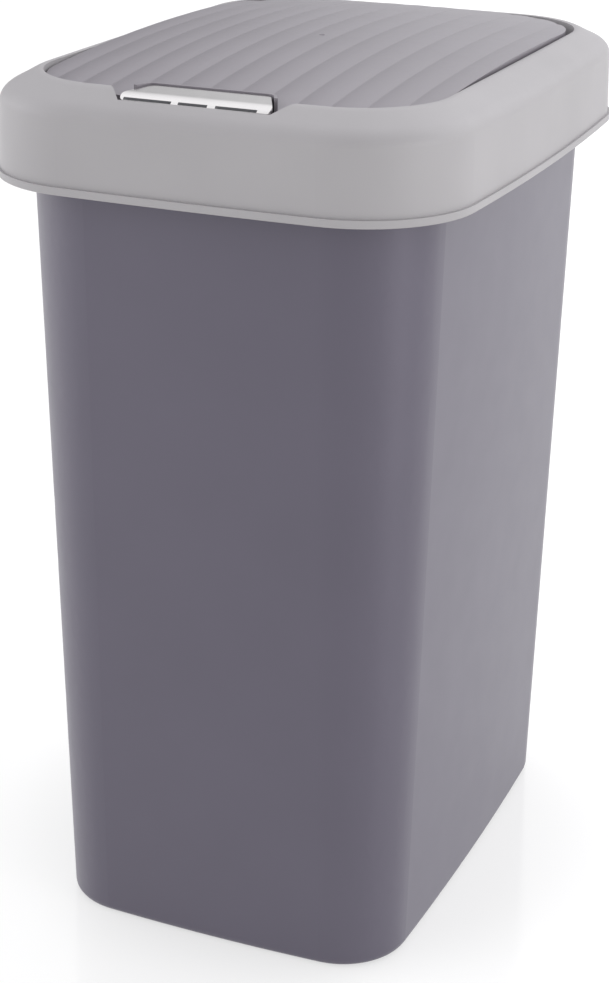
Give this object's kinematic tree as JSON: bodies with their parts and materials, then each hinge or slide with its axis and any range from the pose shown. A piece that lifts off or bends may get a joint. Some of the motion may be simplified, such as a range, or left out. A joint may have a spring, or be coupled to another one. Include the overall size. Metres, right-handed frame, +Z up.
{
  "type": "press-to-open kitchen bin",
  "caption": "Tapered free-standing kitchen bin with a light collar, a fluted hinged flap and a chromed press button.",
  "frame": {"origin": "on the floor under the middle of the bin", "axes": "+Z up, the front with the button faces -Y, +X to the right seen from the front"},
  "size_m": [0.2602, 0.345, 0.4778],
  "materials": {
    "dark_plastic": "satin",
    "light_plastic": "satin",
    "flap_plastic": "satin",
    "chromed_plastic": "satin chrome",
    "inner_plastic": "plain",
    "steel": "plain",
    "spring_steel": "plain"
  },
  "bodies": {
    "bin": {"bin_body": "dark_plastic"},
    "lid_frame": {"collar": "light_plastic", "latch_housing": "inner_plastic", "housing_screws": "steel", "latch_spring": "spring_steel", "hinge_pin_left": "steel", "hinge_pin_right": "steel", "hinge_spring_left": "spring_steel", "hinge_spring_right": "spring_steel"},
    "flap": {"flap": "flap_plastic"},
    "button": {"button_cap": "chromed_plastic", "button_carrier": "inner_plastic"},
    "latch": {"latch_slide": "inner_plastic"}
  },
  "joints": [
    {"name": "collar_lift", "type": "slide", "parent": "bin", "child": "lid_frame", "axis": [0, 0, 1], "range_m": [0, 0.06]},
    {"name": "flap_hinge", "type": "hinge", "parent": "lid_frame", "child": "flap", "pos_m": [0, 0.1352, 0.467], "axis": [-1, 0, 0], "range_deg": [0, 85]},
    {"name": "button_press", "type": "slide", "parent": "lid_frame", "child": "button", "axis": [0, 0, -1], "range_m": [0, 0.003], "stiffness_N_per_m": 600, "springref_m": -0.002},
    {"name": "latch_travel", "type": "slide", "parent": "lid_frame", "child": "latch", "axis": [0, -1, 0], "range_m": [0, 0.003], "deforming": ["latch_spring"]}
  ],
  "couplings": [
    {"joint": "latch_travel", "follows": "button_press", "ratio": 1}
  ]
}
